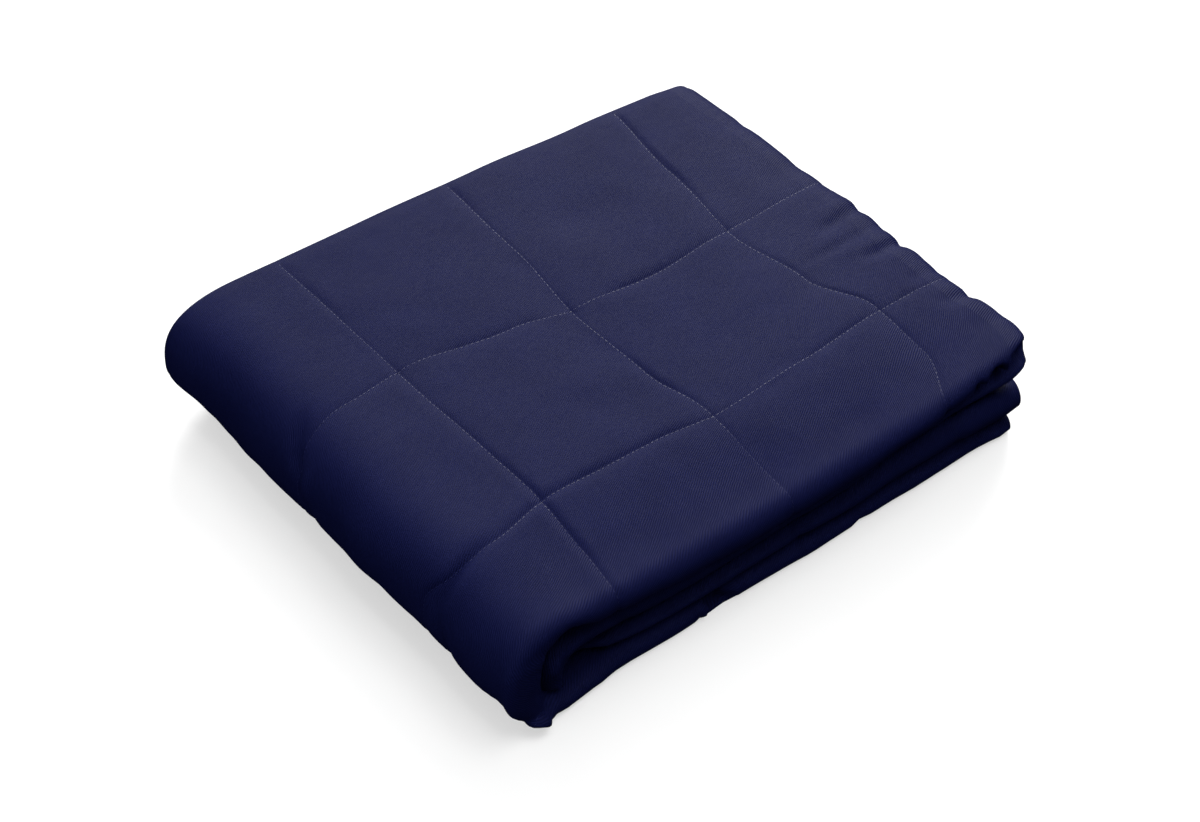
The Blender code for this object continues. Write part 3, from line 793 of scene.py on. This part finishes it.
# =====================================================================
# Seam stitching: blue polyester thread, sewn in a straight lockstitch through
# both faces.  One stitch is set along every seam that shows, end to end.
# =====================================================================
STITCH = 0.0034             # from one stitch to the next
STITCH_LONG = 0.0025        # the thread showing on top
THREAD = 0.00036            # its thickness
SEWN_X = (WRAP_X - 0.112, LIP_X + 0.026)    # where the seams' stitches are set
SEWN_Y = -0.168
SEAM_STEP = 0.002
THREAD_BLUE = (0.0060, 0.0078, 0.0430)
THREAD_PALE = (0.0105, 0.0128, 0.0600)


def shown_seams():
    """Points (u, v) along each seam, from hem or roll to roll."""
    runs = []
    for seam in SEAMS_U:
        if SHOWN_X[0] < seam - FLAT_X < SHOWN_X[1]:
            vs = np.arange(FLAT_Y + SEWN_Y, WIDTH - 0.004, SEAM_STEP)
            runs.append((np.full(len(vs), seam), vs))
    for seam in SEAMS_V:
        if seam - FLAT_Y > SHOWN_Y:
            us = np.arange(FLAT_X + SEWN_X[0], FLAT_X + SEWN_X[1], SEAM_STEP)
            runs.append((us, np.full(len(us), seam)))
    return runs


def seam_curve(name, runs):
    """One curve object with a spline for each run of (u, v) along a seam."""
    curve = bpy.data.curves.new(name, "CURVE")
    curve.dimensions = "3D"
    for us, vs in runs:
        points = fold(us, vs, np.ones(len(us)))
        spline = curve.splines.new("POLY")
        spline.points.add(len(points) - 1)
        spline.points.foreach_set("co", np.hstack([points, np.ones((len(points), 1))]).ravel())
    thing = bpy.data.objects.new(name, curve)
    scene.collection.objects.link(thing)
    return thing


def stitch_mesh():
    """One stitch: a short length of thread with rounded ends, along X."""
    mesh = bpy.data.meshes.new("stitch")
    bm = bmesh.new()
    bmesh.ops.create_uvsphere(bm, u_segments=6, v_segments=5, radius=0.5)
    bmesh.ops.rotate(bm, verts=bm.verts, matrix=Matrix.Rotation(math.pi / 2, 3, "Y"))
    bmesh.ops.scale(bm, verts=bm.verts, vec=(STITCH_LONG, THREAD, THREAD * 0.8))
    bm.to_mesh(mesh)
    bm.free()
    return mesh


def stitch_nodes(stitch, thread):
    """Set a stitch at every Spacing along each curve, turned to follow it."""
    tree = bpy.data.node_groups.new("Stitches", "GeometryNodeTree")
    tree.interface.new_socket("Geometry", in_out="INPUT", socket_type="NodeSocketGeometry")
    spacing = tree.interface.new_socket("Spacing", in_out="INPUT", socket_type="NodeSocketFloat")
    spacing.default_value = STITCH
    tree.interface.new_socket("Geometry", in_out="OUTPUT", socket_type="NodeSocketGeometry")
    nodes, links = tree.nodes, tree.links
    start, end = nodes.new("NodeGroupInput"), nodes.new("NodeGroupOutput")
    resample = nodes.new("GeometryNodeResampleCurve")
    resample.mode = "LENGTH"
    info = nodes.new("GeometryNodeObjectInfo")
    info.inputs["Object"].default_value = stitch
    tangent = nodes.new("GeometryNodeInputTangent")
    align = nodes.new("FunctionNodeAlignRotationToVector")
    align.axis = "X"
    place = nodes.new("GeometryNodeInstanceOnPoints")
    real = nodes.new("GeometryNodeRealizeInstances")
    paint = nodes.new("GeometryNodeSetMaterial")
    paint.inputs["Material"].default_value = thread
    links.new(start.outputs["Geometry"], resample.inputs["Curve"])
    links.new(start.outputs["Spacing"], resample.inputs["Length"])
    links.new(resample.outputs["Curve"], place.inputs["Points"])
    links.new(info.outputs["Geometry"], place.inputs["Instance"])
    links.new(tangent.outputs["Tangent"], align.inputs["Vector"])
    links.new(align.outputs["Rotation"], place.inputs["Rotation"])
    links.new(place.outputs["Instances"], real.inputs["Geometry"])
    links.new(real.outputs["Geometry"], paint.inputs["Geometry"])
    links.new(paint.outputs["Geometry"], end.inputs["Geometry"])
    return tree


thread, thread_tree, thread_shader = principled("navy_thread", THREAD_BLUE, 0.55)
fibre = thread_tree.nodes.new("ShaderNodeTexNoise")
fibre.inputs["Scale"].default_value = 1400.0
place = thread_tree.nodes.new("ShaderNodeTexCoord")
thread_tree.links.new(place.outputs["Object"], fibre.inputs["Vector"])
tint = thread_tree.nodes.new("ShaderNodeMix")
tint.data_type = "RGBA"
tint.inputs[6].default_value = (*THREAD_BLUE, 1.0)
tint.inputs[7].default_value = (*THREAD_PALE, 1.0)
thread_tree.links.new(fibre.outputs[0], tint.inputs[0])
thread_tree.links.new(tint.outputs[2], thread_shader.inputs["Base Color"])

one_stitch = bpy.data.objects.new("one_stitch", stitch_mesh())
scene.collection.objects.link(one_stitch)
lines = seam_curve("seam_lines", shown_seams())
sewing = lines.modifiers.new("stitches", "NODES")
sewing.node_group = stitch_nodes(one_stitch, thread)
bpy.context.view_layer.update()
sewn = bpy.data.meshes.new_from_object(lines.evaluated_get(bpy.context.evaluated_depsgraph_get()))
stitches = bpy.data.objects.new("seam_stitching", sewn)
scene.collection.objects.link(stitches)
for spare in (lines, one_stitch):
    bpy.data.objects.remove(spare, do_unlink=True)
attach(stitches, "root")

# =====================================================================
# The floor: a plain sheet of white backing paper that stays nearly white and
# takes only a soft shadow.  It throws no light back up under the folds.
# =====================================================================
PAPER = (0.36, 0.36, 0.36)
PAPER_GLOW = 0.54
FLOOR_HALF = 8.0
FLOOR_Z = -0.0003
SKY_SEEN = 1.1
corners = [(-1, -1), (1, -1), (1, 1), (-1, 1)]
floor_mesh = bpy.data.meshes.new("floor")
floor_mesh.from_pydata([(a * FLOOR_HALF, b * FLOOR_HALF, FLOOR_Z) for a, b in corners], [], [(0, 1, 2, 3)])
floor = bpy.data.objects.new("floor", floor_mesh)
scene.collection.objects.link(floor)
paper, _, paper_shader = principled("white_paper", PAPER, 0.9)
paper_shader.inputs["Emission Color"].default_value = (1.0, 1.0, 1.0, 1.0)
paper_shader.inputs["Emission Strength"].default_value = PAPER_GLOW
paper_shader.inputs["Specular IOR Level"].default_value = 0.1
floor_mesh.materials.append(paper)
floor.visible_glossy = False
floor.visible_diffuse = False

world = bpy.data.worlds.new("studio")
world.use_nodes = True
sky = world.node_tree.nodes
sky["Background"].inputs[0].default_value = (1.0, 1.0, 1.0, 1.0)
sky["Background"].inputs[1].default_value = 0.0
seen = sky.new("ShaderNodeBackground")
seen.inputs[1].default_value = SKY_SEEN
ray = sky.new("ShaderNodeLightPath")
pick = sky.new("ShaderNodeMixShader")
world.node_tree.links.new(ray.outputs["Is Camera Ray"], pick.inputs[0])
world.node_tree.links.new(sky["Background"].outputs[0], pick.inputs[1])
world.node_tree.links.new(seen.outputs[0], pick.inputs[2])
world.node_tree.links.new(pick.outputs[0], sky["World Output"].inputs[0])
scene.world = world

# =====================================================================
# Light: large soft boxes far behind and overhead, and weak ones in front and
# at the left for the folded edges.  Only the boxes behind make gloss.
# =====================================================================
LIGHT_AIM = Vector((0.0, 0.0, 0.04))
LIGHTS = [
    # name          place                   power   size    makes gloss
    ("back right",  (2.20, 2.20, 2.00),     279.0,  2.0,    True),
    ("back",        (0.00, 3.00, 1.60),     26.6,   2.0,    True),
    ("above right", (0.70, 0.00, 1.50),     10.7,   1.2,    False),
    ("above left",  (-0.70, 0.00, 1.50),    7.9,    1.2,    False),
    ("front",       (0.10, -0.60, 1.65),    20.3,   1.0,    False),
    ("front low",   (0.10, -1.70, 0.30),    5.0,    0.6,    False),
    ("left low",    (-1.60, -0.20, 0.45),   10.2,   0.8,    False),
]
for name, spot, power, size, gloss in LIGHTS:
    lamp = bpy.data.lights.new(name, "AREA")
    lamp.energy = power
    lamp.size = size
    light = bpy.data.objects.new(name, lamp)
    light.location = spot
    light.rotation_euler = (LIGHT_AIM - Vector(spot)).to_track_quat("-Z", "Y").to_euler()
    light.visible_glossy = gloss
    scene.collection.objects.link(light)

# =====================================================================
# The camera: above the front left corner, with a moderately long lens.
# =====================================================================
CAMERA_TURN = math.radians(-37.827)
CAMERA_RISE = math.radians(44.230)
CAMERA_DISTANCE = 1.4745
CAMERA_AIM = (-0.0173 - CENTRE_SHIFT[0], -0.0278 - CENTRE_SHIFT[1], 0.0409)
toward = Vector((math.sin(CAMERA_TURN) * math.cos(CAMERA_RISE),
                 -math.cos(CAMERA_TURN) * math.cos(CAMERA_RISE), math.sin(CAMERA_RISE)))
lens = bpy.data.cameras.new("camera")
lens.lens = 74.582
lens.sensor_width = 36.0
camera = bpy.data.objects.new("camera", lens)
camera.matrix_world = (Matrix.Translation(Vector(CAMERA_AIM) + toward * CAMERA_DISTANCE)
                       @ toward.to_track_quat("Z", "Y").to_matrix().to_4x4())
scene.collection.objects.link(camera)
scene.camera = camera
scene.view_settings.view_transform = "Standard"
